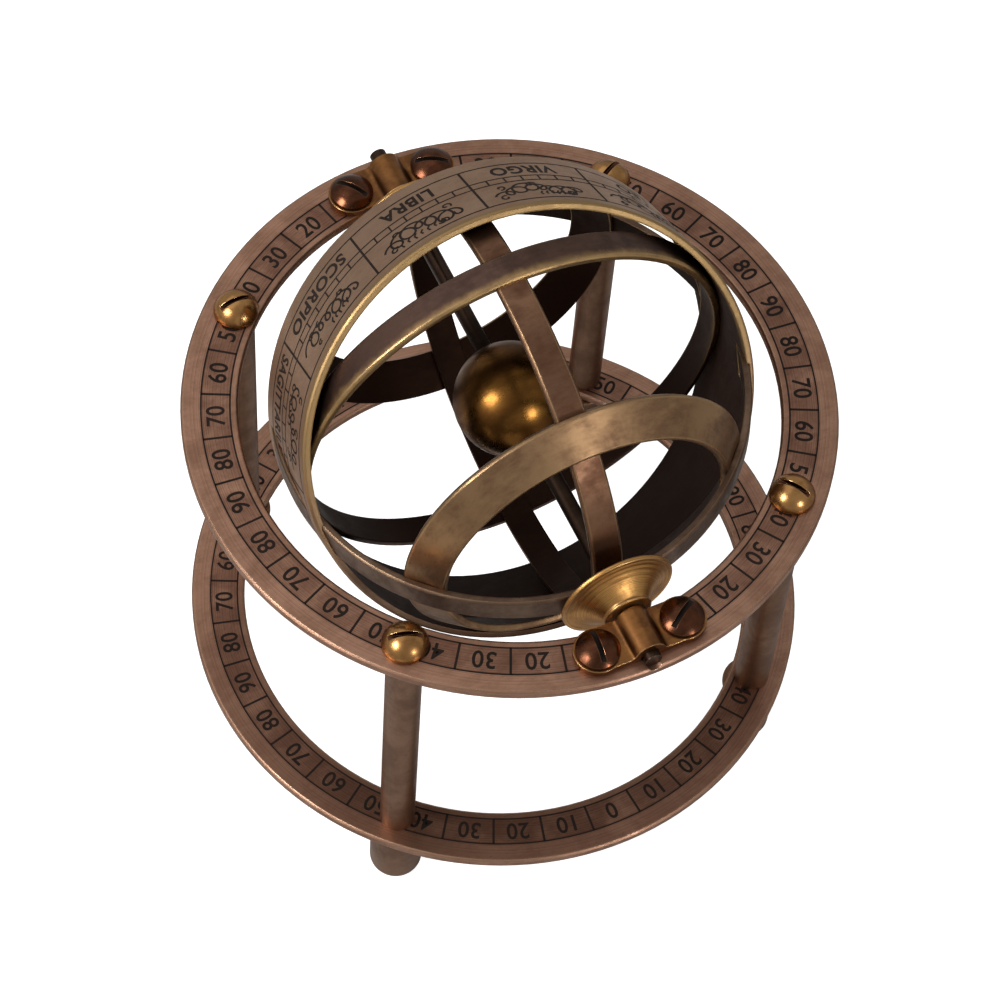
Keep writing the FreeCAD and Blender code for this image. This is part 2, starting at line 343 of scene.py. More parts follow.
def ring_band_group():
    """1 between two radii about the stand's centre line, where grime stays in the scale."""
    tree, given, out = new_group(
        "Ring band", {"Inner": ("Float", 0.048), "Outer": ("Float", 0.053)}, {"Mask": "Float"})
    parts = node(tree, "SeparateXYZ", Vector=here(tree))
    flat = node(tree, "CombineXYZ", X=parts.outputs["X"], Y=parts.outputs["Y"])
    distance = vector_maths(tree, "LENGTH", flat.outputs["Vector"])
    inner, outer = given.outputs["Inner"], given.outputs["Outer"]
    above = ramp(tree, distance, inner, maths(tree, "ADD", inner, BAND_SOFT))
    below = ramp(tree, distance, outer, maths(tree, "SUBTRACT", outer, BAND_SOFT))
    patchy = ramp(tree, noise(tree, here(tree), 160.0, 5.0, 0.6), 0.25, 0.60)
    tree.links.new(maths(tree, "MULTIPLY", maths(tree, "MULTIPLY", above, below), patchy), out.inputs["Mask"])
    return tree


def faced_lines_group():
    """Fine rings about the stand's centre line, left by the facing cut on a flat ring."""
    tree, given, out = new_group("Faced lines", {"Pitch": ("Float", 5200.0)}, {"Shade": "Float"})
    parts = node(tree, "SeparateXYZ", Vector=here(tree))
    flat = node(tree, "CombineXYZ", X=parts.outputs["X"], Y=parts.outputs["Y"])
    distance = vector_maths(tree, "LENGTH", flat.outputs["Vector"])
    wobble = maths(tree, "MULTIPLY", noise(tree, here(tree), 60.0, 2.0), LINE_WOBBLE)
    along = maths(tree, "MULTIPLY", maths(tree, "ADD", distance, wobble), given.outputs["Pitch"])
    line = node(tree, "CombineXYZ", X=along)
    tree.links.new(noise(tree, line.outputs["Vector"], 1.0, 3.0, 0.7), out.inputs["Shade"])
    return tree


rim_rub_and_highlight = gilded_rim_group()
ring_band = ring_band_group()
faced_lines = faced_lines_group()
print("groups ready:", [g.name for g in bpy.data.node_groups])

# %% [markdown]
# ## The finishes
#
# One recipe makes every brass on the object: patina, darker on the hollow side
# where asked, brighter on rubbed edges, with a little bump. Only the numbers
# change between the pinkish scale rings, the grey zodiac band, the golden
# screws and the coppery ones. The constants that never vary, such as Metallic,
# sit on the shader itself.

# %% One recipe for aged brass
def tone(red, green, blue):
    """A colour with full alpha."""
    return (red, green, blue, 1.0)


def use_group(tree, group, **values):
    """Places a node group and fills its inputs by name."""
    made = tree.nodes.new("ShaderNodeGroup")
    made.node_tree = group
    for key, value in values.items():
        plug(tree, made, key.replace("_", " "), value)
    return made


def height_above_floor(tree):
    """How high the point lies on the object, in metres."""
    return node(tree, "SeparateXYZ", Vector=here(tree)).outputs["Z"]


def aged_brass(name, metal, oxide, soot, amount, rough, cloud=90.0, edge=None, edge_mm=0.35,
               breakup=0.35, hollow=None, grooves=None, metallic=1.0, bump=0.12, specular=0.5,
               rubbed_rim_highlight=None, edge_highlight_heights=None, band=None, dim=None):
    """A brass finish built from the shared effects.

    `grooves` is (middle, pitch), `rubbed_rim_highlight` is (axis, start, end, colour) for a rim that is
    partly rubbed brass and partly a painted highlight, `edge_highlight_heights` is the two heights where the
    painted highlight on rubbed edges begins and is full, `band` is (inner, outer, colour)
    and `dim` is (low, high, colour at the low end) for painted shade towards the bottom.
    """
    material = bpy.data.materials.new(name)
    material.use_nodes = True
    tree = material.node_tree
    shader = tree.nodes["Principled BSDF"]
    shader.inputs["Metallic"].default_value = metallic
    shader.inputs["Specular IOR Level"].default_value = specular
    skin = use_group(tree, patina, Metal=metal, Oxide=oxide, Soot=soot, Cloud_Scale=cloud,
                     Oxide_Amount=amount, Roughness_Low=rough[0], Roughness_High=rough[1])
    color, roughness, height = skin.outputs["Color"], skin.outputs["Roughness"], skin.outputs["Height"]
    bump_node = node(tree, "Bump", Strength=bump, Distance=0.0002)
    if grooves:
        lines = use_group(tree, turned_grooves, Middle=grooves[0], Pitch=grooves[1]).outputs["Shade"]
        dark = blend(tree, 1.0, color, (0.45, 0.42, 0.38, 1), "MULTIPLY")
        color = blend(tree, ramp(tree, lines, 0.62, 0.35), color, dark)
        height = maths(tree, "ADD", height, lines)
    if band:
        lines = use_group(tree, faced_lines).outputs["Shade"]
        color = blend(tree, ramp(tree, lines, 0.60, 0.36), color, blend(tree, 1.0, color, grime, "MULTIPLY"))
        height = maths(tree, "ADD", height, maths(tree, "MULTIPLY", lines, 0.6))
        color = blend(tree, use_group(tree, ring_band, Inner=band[0], Outer=band[1]).outputs["Mask"], color,
                      blend(tree, 1.0, color, band[2], "MULTIPLY"))
    # Painted shade: the colour darkens towards the bottom, where shade falls.
    if dim:
        height_here = height_above_floor(tree)
        shade = blend(tree, ramp(tree, height_here, dim[0], dim[1]), dim[2], tone(1, 1, 1))
        color = blend(tree, 1.0, color, shade, "MULTIPLY")
    if hollow:
        inside = use_group(tree, hollow_side, Middle=sphere_middle).outputs["Mask"]
        color = blend(tree, inside, color, blend(tree, 0.55, hollow, color, "MULTIPLY"))
        roughness = maths(tree, "ADD", roughness, maths(tree, "MULTIPLY", inside, 0.12))
    # One rim in a lighter colour: partly rubbed brass, partly a painted highlight, brightest at the top.
    if rubbed_rim_highlight:
        axis, start, end, gold = rubbed_rim_highlight
        rim = use_group(tree, rim_rub_and_highlight, Middle=sphere_middle, Axis=axis, Start=start, End=end)
        color = blend(tree, rim.outputs["Mask"], color, gold)
    if edge:
        worn = use_group(tree, rubbed_edges, Radius=edge_mm * mm, Breakup=breakup)
        mask = worn.outputs["Mask"]
        # Painted highlight: the bright rubbed edges fade out towards the bottom, where shade falls.
        if edge_highlight_heights:
            height_here = height_above_floor(tree)
            mask = maths(tree, "MULTIPLY", mask, ramp(tree, height_here, edge_highlight_heights[0], edge_highlight_heights[1]))
        color = blend(tree, mask, color, edge)
        roughness = maths(tree, "SUBTRACT", roughness, maths(tree, "MULTIPLY", mask, 0.12))
        tree.links.new(worn.outputs["Normal"], bump_node.inputs["Normal"])
    tree.links.new(height, bump_node.inputs["Height"])
    tree.links.new(bump_node.outputs["Normal"], shader.inputs["Normal"])
    tree.links.new(color, shader.inputs["Base Color"])
    tree.links.new(roughness, shader.inputs["Roughness"])
    return material

# %% The finishes by name
ZODIAC_TILT = math.radians(30.5)
BAND_TURN = math.radians(-6.5)
at_rest = Matrix.Rotation(BAND_TURN, 3, "Y")
band_axis = at_rest @ Vector((0, math.cos(ZODIAC_TILT), -math.sin(ZODIAC_TILT)))
gold_rub = tone(0.56, 0.38, 0.19)
# Colour of the equator's front rim: partly rubbed brass, partly a painted highlight.
warm_gold = tone(0.46, 0.29, 0.125)
inside_dark = tone(0.060, 0.032, 0.022)
soot = tone(0.035, 0.018, 0.012)
grime = tone(0.64, 0.60, 0.60)
# Heights over which the painted highlight on rubbed edges fades in, from below the sphere's middle to just
# above it.
edge_highlight_fade = (sphere_middle.z - 22 * mm, sphere_middle.z + 6 * mm)
front = Vector((0, -1, 0))
# Colour of the painted shade at the bottom of the zodiac band.
low_shade = tone(0.16, 0.13, 0.12)

finishes = {
    "scale_brass": aged_brass("Scale ring brass", tone(0.420, 0.238, 0.158), tone(0.300, 0.162, 0.106), soot,
                              0.5, (0.34, 0.46), cloud=130.0, edge=tone(0.58, 0.39, 0.26), bump=0.2,
                              band=(48.2 * mm, 53.7 * mm, grime)),
    "pillar_brass": aged_brass("Pillar brass", tone(0.26, 0.148, 0.090), tone(0.165, 0.088, 0.054), soot,
                               0.5, (0.34, 0.46), edge=tone(0.40, 0.26, 0.17)),
    "golden_brass": aged_brass("Golden screw brass", tone(0.46, 0.240, 0.085), tone(0.25, 0.120, 0.042), soot,
                               0.46, (0.20, 0.36), cloud=300.0, edge=tone(0.72, 0.48, 0.24), edge_mm=0.2),
    "coppery_brass": aged_brass("Coppery screw brass", tone(0.12, 0.044, 0.022),
                                tone(0.055, 0.022, 0.012), soot, 0.5, (0.20, 0.34),
                                cloud=300.0, edge=tone(0.38, 0.19, 0.10), edge_mm=0.2),
    "saddle_brass": aged_brass("Saddle brass", tone(0.25, 0.108, 0.034), tone(0.13, 0.055, 0.022), soot,
                               0.48, (0.28, 0.42), cloud=220.0, edge=tone(0.50, 0.30, 0.13), edge_mm=0.3),
    "zodiac_brass": aged_brass("Zodiac band brass", tone(0.430, 0.275, 0.180),
                               tone(0.320, 0.198, 0.128), soot, 0.5, (0.38, 0.50),
                               cloud=120.0, edge=tone(0.38, 0.245, 0.11), edge_mm=0.4,
                               breakup=0.4, hollow=inside_dark, edge_highlight_heights=edge_highlight_fade, bump=0.2,
                               # Front rim: rubbed gold with a painted highlight towards the top.
                               rubbed_rim_highlight=(-band_axis, 9.2 * mm, 11.3 * mm, tone(0.32, 0.205, 0.092)),
                               dim=(sphere_middle.z - 30 * mm, sphere_middle.z + 2 * mm, low_shade)),
    "spun_brass": aged_brass("Spun cup brass", tone(0.66, 0.355, 0.115), tone(0.42, 0.215, 0.070), soot,
                             0.45, (0.34, 0.46), cloud=160.0, edge=gold_rub,
                             grooves=(sphere_middle, 5200.0)),
    "ball_bronze": aged_brass("Ball bronze", tone(0.205, 0.092, 0.020), tone(0.118, 0.048, 0.012), soot,
                              0.50, (0.24, 0.40), cloud=150.0),
    "axle_brass": aged_brass("Axle brass", tone(0.055, 0.032, 0.022), tone(0.030, 0.018, 0.012), soot,
                             0.5, (0.30, 0.42), edge=tone(0.16, 0.10, 0.06), edge_mm=0.2),
    "ring_brass": aged_brass("Hoop brass", tone(0.350, 0.212, 0.108), tone(0.150, 0.082, 0.046), soot,
                             0.48, (0.30, 0.48), cloud=110.0, edge=gold_rub, edge_mm=0.5,
                             hollow=inside_dark, edge_highlight_heights=edge_highlight_fade),
}
darker_hoops = {
    "colure_level": aged_brass("Dusky hoop brass", tone(0.175, 0.112, 0.075), tone(0.095, 0.056, 0.038), soot,
                               0.5, (0.34, 0.50), cloud=110.0, edge=tone(0.30, 0.19, 0.10), edge_mm=0.4,
                               hollow=inside_dark, edge_highlight_heights=edge_highlight_fade),
    "colure_upright": aged_brass("Reddish hoop brass", tone(0.210, 0.112, 0.066),
                                 tone(0.110, 0.052, 0.030), soot, 0.5, (0.34, 0.52),
                                 cloud=110.0, edge=gold_rub, edge_mm=0.5,
                                 hollow=inside_dark, edge_highlight_heights=edge_highlight_fade),
    "equator_ring": aged_brass("Smoky hoop brass", tone(0.120, 0.070, 0.052), tone(0.068, 0.040, 0.032), soot,
                               0.5, (0.28, 0.42), cloud=110.0, edge=gold_rub, edge_mm=0.5,
                               hollow=inside_dark, edge_highlight_heights=edge_highlight_fade,
                               # Front rim: rubbed gold with a painted highlight towards the top.
                               rubbed_rim_highlight=(front, -0.2 * mm, 2.2 * mm, warm_gold)),
}
etched = aged_brass("Etched lines", tone(0.014, 0.007, 0.005), tone(0.009, 0.005, 0.003), BLACK,
                    0.5, (0.5, 0.65), metallic=0.0, specular=0.15)
print("finishes", sorted(finishes))

# %% Dress the CAD parts
for record_part in frame["record"]["subparts"]:
    part = frame["nodes"][record_part["node"]]
    for place in part.material_slots:
        place.material = darker_hoops.get(record_part["node"], finishes[record_part["material_slot"]])
print("dressed", len(frame["nodes"]), "parts")

# %% [markdown]
# ## Screws, feet and cups with rounder shapes
#
# The CAD screws and feet have the right size, but a real screw has a high
# polished dome, a crisp slot and a softened rim. A turned piece is easiest to
# model as a lathe would make it: one circle, extruded and resized from station
# to station. The slot is then cut with a block, once, and each screw is a
# copy, turned so that its own slot points the right way.

# %% A small lathe
LATHE_SIDES = 72
SMOOTH_ANGLE = math.radians(32)
ON_THE_CUT = 0.01 * mm


def lathe(stations, sides=LATHE_SIDES):
    """A closed turned piece about Z from (radius, height) stations."""
    let_go()
    start_r, start_z = stations[0]
    bpy.ops.mesh.primitive_circle_add(vertices=sides, radius=start_r, location=(0, 0, start_z),
                                      fill_type="NGON")
    piece = bpy.context.object
    settle(piece)
    bpy.ops.object.mode_set(mode="EDIT")
    bpy.ops.mesh.select_all(action="SELECT")
    for (last_r, last_z), (radius, height) in zip(stations, stations[1:]):
        bpy.ops.mesh.extrude_region_move(TRANSFORM_OT_translate={"value": (0, 0, height - last_z)})
        grow = radius / last_r
        bpy.ops.transform.resize(value=(grow, grow, 1), center_override=(0, 0, height))
    bpy.ops.mesh.select_all(action="SELECT")
    bpy.ops.mesh.normals_make_consistent(inside=False)
    bpy.ops.object.mode_set(mode="OBJECT")
    return piece


def arc(centre_r, centre_z, radius, start, end, steps):
    """Stations along a round stretch, from one angle to another, in degrees."""
    spots = []
    for step in range(steps + 1):
        angle = math.radians(start + (end - start) * step / steps)
        spots.append((centre_r + radius * math.cos(angle), centre_z + radius * math.sin(angle)))
    return spots


def smooth(piece):
    """Soft shading, except across sharp edges."""
    pick(piece)
    bpy.ops.object.shade_smooth_by_angle(angle=SMOOTH_ANGLE)
    return piece


def cut_slot(piece, width, floor_z, length):
    """Cuts a straight slot along X, down to a height."""
    let_go()
    bpy.ops.mesh.primitive_cube_add(size=1, location=(0, 0, floor_z + length / 2),
                                    scale=(length, width, length))
    block = bpy.context.object
    settle(block)
    pick(piece)
    boolean = piece.modifiers.new("slot", "BOOLEAN")
    boolean.operation = "DIFFERENCE"
    boolean.object = block
    boolean.solver = "EXACT"
    bpy.ops.object.modifier_apply(modifier="slot")
    bpy.data.objects.remove(block)
    return piece


def slot_faces(piece, width, floor_z):
    """The faces of a slot along X: its floor and its two walls."""
    found = []
    for face in piece.data.polygons:
        at_floor = abs(face.center.z - floor_z) < ON_THE_CUT and face.normal.z > 0.9
        at_wall = abs(abs(face.center.y) - width / 2) < ON_THE_CUT and abs(face.normal.y) > 0.9
        if at_floor or at_wall:
            found.append(face.index)
    return found


def line_slot(piece, faces, lining):
    """Gives the slot's own faces a second, darker finish."""
    piece.data.materials.append(lining)
    for index in faces:
        piece.data.polygons[index].material_index = 1

# %% The domed cap screws
CAP_R = 4.0 * mm
CAP_H = 3.5 * mm
CAP_RIM = 0.55 * mm
CAP_EDGE = 0.25 * mm
SLOT_WIDTH = 0.9 * mm
SLOT_DEPTH = 1.25 * mm
SLOT_FLOOR = CAP_H - SLOT_DEPTH
STUD_R = 1.5 * mm
STUD_LENGTH = 9.0 * mm
CAP_SLOTS = {"front_right": 127, "rear_right": 29, "rear_left": 2, "front_left": 162}
TINY = 0.05 * mm


def dome(head_r, head_h, rim, edge, steps=12):
    """Stations of a mushroom head: a small rounded rim, then one arc to the top."""
    dome_h = head_h - rim
    ball = (head_r ** 2 + dome_h ** 2) / (2 * dome_h)
    reach = math.degrees(math.asin(head_r / ball))
    turn_in = edge * 0.3
    foot = [(head_r - edge, 0), (head_r - turn_in, turn_in), (head_r, edge)]
    crown = arc(0, head_h - ball, ball, 90 - reach, 90, steps)
    return foot + crown[:-1] + [(TINY, head_h)]


cap = lathe([(STUD_R, -STUD_LENGTH), (STUD_R, 0)] + dome(CAP_R, CAP_H, CAP_RIM, CAP_EDGE))
cap = smooth(cut_slot(cap, SLOT_WIDTH, SLOT_FLOOR, 3 * CAP_R))
cap_slot = slot_faces(cap, SLOT_WIDTH, SLOT_FLOOR)
for corner in corners:
    low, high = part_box("cap_screw_" + corner)
    seat = Vector(((low.x + high.x) / 2, (low.y + high.y) / 2, top_deck))
    turn = Matrix.Translation(seat) @ Matrix.Rotation(math.radians(CAP_SLOTS[corner]), 4, "Z")
    screw = moved_copy(cap, turn, "golden_screw_" + corner)
    belongs(screw, "golden_screw_" + corner, "stand", finishes["golden_brass"])
    line_slot(screw, cap_slot, finishes["coppery_brass"])
    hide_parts("cap_screw_" + corner)
bpy.data.objects.remove(cap)
print("cap screws, slot faces", len(cap_slot))

# %% The flatter saddle screws
PAN_R = 3.8 * mm
PAN_H = 2.3 * mm
PAN_RIM = 0.6 * mm
PAN_SLOT_WIDTH = 0.9 * mm
PAN_SLOT_DEPTH = 1.0 * mm
PAN_SLOT_FLOOR = PAN_H - PAN_SLOT_DEPTH
PAN_STUD_R = 1.25 * mm
PAN_STUD_LENGTH = 3.3 * mm
SADDLE_SLOTS = {"front_left": 84, "front_right": 33, "rear_left": 129, "rear_right": 157}
pan = lathe([(PAN_STUD_R, -PAN_STUD_LENGTH), (PAN_STUD_R, 0)] + dome(PAN_R, PAN_H, PAN_RIM, CAP_EDGE))
pan = smooth(cut_slot(pan, PAN_SLOT_WIDTH, PAN_SLOT_FLOOR, 3 * PAN_R))
pan_slot = slot_faces(pan, PAN_SLOT_WIDTH, PAN_SLOT_FLOOR)
for place, angle in SADDLE_SLOTS.items():
    low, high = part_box("saddle_screw_" + place)
    seat = Vector(((low.x + high.x) / 2, (low.y + high.y) / 2, high.z - PAN_H))
    turn = Matrix.Translation(seat) @ Matrix.Rotation(math.radians(angle), 4, "Z")
    screw = moved_copy(pan, turn, "copper_screw_" + place)
    belongs(screw, "copper_screw_" + place, "stand", finishes["coppery_brass"])
    line_slot(screw, pan_slot, etched)
    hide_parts("saddle_screw_" + place)
bpy.data.objects.remove(pan)
print("saddle screws", len(SADDLE_SLOTS))

# %% The turned feet
stud_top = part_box("foot_front_right")[1].z
RING_THICKNESS = 2.0 * mm
FOOT_R = 4.8 * mm
FOOT_H = base_deck - RING_THICKNESS
FOOT_ROUND = 2.8 * mm
COLLAR_R = 5.2 * mm
COLLAR_H = 1.2 * mm
COLLAR_ROUND = 0.4 * mm
NECK_R = FOOT_R - 0.15 * mm
NECK_FOOT = 0.3 * mm
NECK_SHOULDER = 0.1 * mm
barrel = arc(FOOT_R - FOOT_ROUND, FOOT_ROUND, FOOT_ROUND, -90, 0, 10)
neck = [(FOOT_R, FOOT_H - COLLAR_H - NECK_FOOT), (NECK_R, FOOT_H - COLLAR_H - NECK_SHOULDER),
        (NECK_R, FOOT_H - COLLAR_H)]
collar = (arc(COLLAR_R - COLLAR_ROUND, FOOT_H - COLLAR_H + COLLAR_ROUND, COLLAR_ROUND, -90, 0, 4)
          + arc(COLLAR_R - COLLAR_ROUND, FOOT_H - COLLAR_ROUND, COLLAR_ROUND, 0, 90, 4))
stud = [(STUD_R, FOOT_H), (STUD_R, stud_top)]
turned_foot = smooth(lathe(barrel + neck + collar + stud))
for corner in corners:
    low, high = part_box("foot_" + corner)
    seat = Matrix.Translation(((low.x + high.x) / 2, (low.y + high.y) / 2, 0))
    piece = moved_copy(turned_foot, seat, "turned_foot_" + corner)
    belongs(piece, "turned_foot_" + corner, "stand", finishes["pillar_brass"])
    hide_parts("foot_" + corner)
bpy.data.objects.remove(turned_foot)
print("feet", FOOT_H / mm, "mm tall")

# %% [markdown]
# ### The flared cups
#
# Each cup is spun from sheet on a lathe, and its flare keeps the fine steps of
# the spinning tool. A tool step is only a tenth of a millimetre deep, but brass
# shows every one as a thin bright ring, so the steps are in the mesh and the
# still finer lines are in the finish.

# %% Cups
CUP_R = 10.2 * mm
HUB_R = 4.4 * mm
CUP_LENGTH = 4.8 * mm
CUP_RIM = 0.8 * mm
RIM_BEVEL = 0.3 * mm
RIM_LOW = 0.25 * mm
RIM_HIGH = 0.6 * mm
HUB_BEVEL = 0.2 * mm
FLARE_START = CUP_R - 0.15 * mm
FLARE_TOP = CUP_LENGTH * 0.86
FLARE_CURVE = 1.9
FLARE_STEPS = 26
TOOL_STEP = 0.05 * mm
AXLE_HOLE = 1.55 * mm


def flare():
    """Stations from the rim to the hub: nearly flat outside, steep near the hub, with tool steps."""
    spots = []
    for step in range(FLARE_STEPS + 1):
        share = step / FLARE_STEPS
        radius = FLARE_START + (HUB_R - CUP_R) * share
        height = CUP_RIM + (FLARE_TOP - CUP_RIM) * share ** FLARE_CURVE
        ripple = TOOL_STEP * (1 if step % 4 < 2 else -1) * (1 - share)
        spots.append((radius, height + ripple))
    return spots


rim = [(AXLE_HOLE, 0), (CUP_R - RIM_BEVEL, 0), (CUP_R, RIM_LOW), (CUP_R, RIM_HIGH)]
hub = [(HUB_R, CUP_LENGTH - HUB_BEVEL), (HUB_R - HUB_BEVEL, CUP_LENGTH), (AXLE_HOLE, CUP_LENGTH)]
spun = smooth(lathe(rim + flare() + hub, 96))
for end, side in (("front", -1), ("rear", 1)):
    low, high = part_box("cup_" + end)
    sphere_side = high.y if side < 0 else low.y
    aim = Matrix.Rotation(math.radians(-90 * side), 4, "X")
    piece = moved_copy(spun, Matrix.Translation((0, sphere_side, sphere_middle.z)) @ aim, "spun_cup_" + end)
    belongs(piece, "spun_cup_" + end, "sphere", finishes["spun_brass"])
    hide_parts("cup_" + end)
bpy.data.objects.remove(spun)
print("cups from", rim[0], "to", hub[-1])

# %% [markdown]
# ## Etched scales on the two rings
#
# A degree scale is etched: two fine circles, a short line between every ten
# degrees, and numbers that climb from 0 at the axle to 90 at the sides. Real
# etching is a shallow groove filled with dark wax. Cutting hundreds of grooves
# would cost a lot of mesh for a depth nobody can see, so each mark is a wafer
# that stands a fiftieth of a millimetre proud, like the wax in the groove.

# %% Flat marks for a scale ring
CIRCLE_WIDTH = 0.3 * mm
DIVIDER_WIDTH = 0.42 * mm
WAFER = 0.02 * mm
SCALE_LINE_OUT = 53.45 * mm
SCALE_LINE_IN = 48.45 * mm
DIGIT_HEIGHT = 3.3 * mm
DIGIT_SQUEEZE = 0.92
CELL = 10
CAPITAL_SHARE = 0.73
LETTER_GAP = 1.05


def flat_circle(radius, width, sides=180):
    """A thin flat hoop in the level plane, at height zero; the caller lifts it."""
    let_go()
    bpy.ops.mesh.primitive_circle_add(vertices=sides, radius=radius - width / 2, fill_type="NOTHING")
    hoop = bpy.context.object
    bpy.ops.object.mode_set(mode="EDIT")
    bpy.ops.mesh.select_all(action="SELECT")
    bpy.ops.mesh.extrude_edges_move()
    grow = (radius + width / 2) / (radius - width / 2)
    bpy.ops.transform.resize(value=(grow, grow, 1), center_override=(0, 0, 0))
    bpy.ops.mesh.select_all(action="SELECT")
    bpy.ops.mesh.normals_make_consistent(inside=False)
    bpy.ops.object.mode_set(mode="OBJECT")
    if hoop.data.polygons[0].normal.z < 0:
        hoop.data.flip_normals()
    return hoop


def flat_bar(length, width):
    """A thin flat bar along Y."""
    let_go()
    bpy.ops.mesh.primitive_plane_add(size=1)
    bar = bpy.context.object
    bar.scale = (width, length, 1)
    settle(bar)
    return bar


def flat_word(text, height, squeeze=1.0, boldness=0.02):
    """A word as a flat mesh, centred on the origin, its capitals `height` tall."""
    let_go()
    bpy.ops.object.text_add()
    word = bpy.context.object
    word.data.body = text
    word.data.align_x = "CENTER"
    word.data.align_y = "CENTER"
    word.data.size = height / CAPITAL_SHARE
    word.data.resolution_u = 4
    word.data.offset = boldness * height
    word.data.space_character = LETTER_GAP
    bpy.ops.object.convert(target="MESH")
    word = bpy.context.object
    across = [v.co.x for v in word.data.vertices]
    tall = [v.co.y for v in word.data.vertices]
    middle_x = (min(across) + max(across)) / 2
    middle_y = (min(tall) + max(tall)) / 2
    word.data.transform(Matrix.Diagonal((squeeze, 1, 1, 1)) @ Matrix.Translation((-middle_x, -middle_y, 0)))
    return word


def round_from_front(degrees, radius, z):
    """The place and turn of a mark at an angle from the front, its top pointing outwards."""
    angle = math.radians(degrees)
    place = Vector((-radius * math.sin(angle), -radius * math.cos(angle), z))
    return Matrix.Translation(place) @ Matrix.Rotation(math.pi - angle, 4, "Z")


def scale_marks(name, deck, bare):
    """All the marks of one ring; `bare` lists the angles that the saddles cover."""
    level = deck + WAFER
    pieces = []
    for radius in (SCALE_LINE_OUT, SCALE_LINE_IN):
        hoop = flat_circle(radius, CIRCLE_WIDTH)
        hoop.data.transform(Matrix.Translation((0, 0, level)))
        pieces.append(hoop)
    middle_r = (SCALE_LINE_OUT + SCALE_LINE_IN) / 2
    bar = flat_bar(SCALE_LINE_OUT - SCALE_LINE_IN, DIVIDER_WIDTH)
    for step in range(360 // CELL):
        pieces.append(moved_copy(bar, round_from_front(step * CELL + CELL / 2, middle_r, level), "tick"))
    bpy.data.objects.remove(bar)
    for value in range(0, 100, CELL):
        digits = flat_word(str(value), DIGIT_HEIGHT, DIGIT_SQUEEZE)
        for turn in {value, 180 - value, 180 + value, (360 - value) % 360}:
            if turn not in bare:
                pieces.append(moved_copy(digits, round_from_front(turn, middle_r, level), "digits"))
        bpy.data.objects.remove(digits)
    marks = join(pieces)
    belongs(marks, name, "stand", etched)
    return marks


top_marks = scale_marks("top_scale_marks", top_deck, bare={0, 180})
base_marks = scale_marks("base_scale_marks", base_deck, bare=set())
print("scale marks", len(top_marks.data.polygons), "and", len(base_marks.data.polygons), "faces")

# %% [markdown]
# ## The zodiac band
#
# The band is laid out flat first, as an engraver would draw it: a border line
# near each rim, twelve boxes, a row of names, a ladder of small divisions and
# a row of curling figures. Then the drawing is wrapped round the band, which
# is a cylinder about its own leaning axis. Along the drawing, x becomes an
# angle and y becomes the distance across the band.

# %% The band's own frame
ZODIAC_R = 40.8 * mm
FRONT_LINE = 8.9 * mm
REAR_LINE = -6.7 * mm
FIRST_BORDER = 96
BEND_STEP = 1.2 * mm
band_left = at_rest @ Vector((-1, 0, 0))
band_up = band_axis.cross(band_left)


def wrap(piece, degrees, across=0.0):
    """Wraps a flat drawing round the band; its top points to the front rim."""
    reach = ZODIAC_R + WAFER
    for vertex in piece.data.vertices:
        angle = math.radians(degrees) - vertex.co.x / reach
        ray = band_left * math.cos(angle) + band_up * math.sin(angle)
        vertex.co = sphere_middle + ray * reach - band_axis * (vertex.co.y + across)
    piece.data.update()
    return piece


def long_bar(length, width):
    """A bar along x with enough cuts to bend smoothly."""
    let_go()
    cuts = max(1, round(length / BEND_STEP))
    bpy.ops.mesh.primitive_grid_add(x_subdivisions=cuts, y_subdivisions=1, size=1)
    bar = bpy.context.object
    bar.scale = (length, width, 1)
    settle(bar)
    return bar

# %% Borders, boxes and the ladder
BOXES = 12
BOX_ANGLE = 30
FINE = 0.3 * mm
BOLD = 1.4 * FINE
LADDER_FRONT = 0.9 * mm
LADDER_REAR = -1.1 * mm
TICKS_IN_BOX = 7
BORDER_CUTS = 15
box_length = math.radians(BOX_ANGLE) * ZODIAC_R
zodiac_pieces = []
for box_number in range(BOXES):
    box_middle = FIRST_BORDER + BOX_ANGLE / 2 + box_number * BOX_ANGLE
    for across in (FRONT_LINE, LADDER_FRONT, LADDER_REAR, REAR_LINE):
        zodiac_pieces.append(wrap(long_bar(box_length, FINE), box_middle, across))
    border = flat_bar(FRONT_LINE - REAR_LINE, BOLD)
    pick(border)
    bpy.ops.object.mode_set(mode="EDIT")
    bpy.ops.mesh.select_all(action="SELECT")
    bpy.ops.mesh.subdivide(number_cuts=BORDER_CUTS)
    bpy.ops.object.mode_set(mode="OBJECT")
    zodiac_pieces.append(wrap(border, box_middle - BOX_ANGLE / 2, (FRONT_LINE + REAR_LINE) / 2))
    for tick in range(1, TICKS_IN_BOX):
        step = FIRST_BORDER + (box_number + tick / TICKS_IN_BOX) * BOX_ANGLE
        rung = flat_bar(LADDER_FRONT - LADDER_REAR, FINE)
        zodiac_pieces.append(wrap(rung, step, (LADDER_FRONT + LADDER_REAR) / 2))
print("zodiac lines", len(zodiac_pieces))

# %% Names, read from the rear
NAMES = ("VIRGO", "LIBRA", "SCORPIO", "SAGITTARIUS", "CAPRICORN", "AQUARIUS",
         "PISCES", "ARIES", "TAURUS", "GEMINI", "CANCER", "LEO")
NAME_HEIGHT = 3.3 * mm
NAME_AT = (LADDER_REAR + REAR_LINE) / 2
NAME_ROOM = 0.86 * box_length
NAME_SQUEEZE = 0.82
NAME_BOLDNESS = 0.036
for number, name in enumerate(NAMES):
    word = flat_word(name, NAME_HEIGHT, 1.0, NAME_BOLDNESS)
    width = max(v.co.x for v in word.data.vertices) * 2
    squeeze = min(NAME_SQUEEZE, NAME_ROOM / width)
    word.data.transform(Matrix.Diagonal((squeeze, 1, 1, 1)))
    zodiac_pieces.append(wrap(word, FIRST_BORDER + BOX_ANGLE / 2 - number * BOX_ANGLE, NAME_AT))
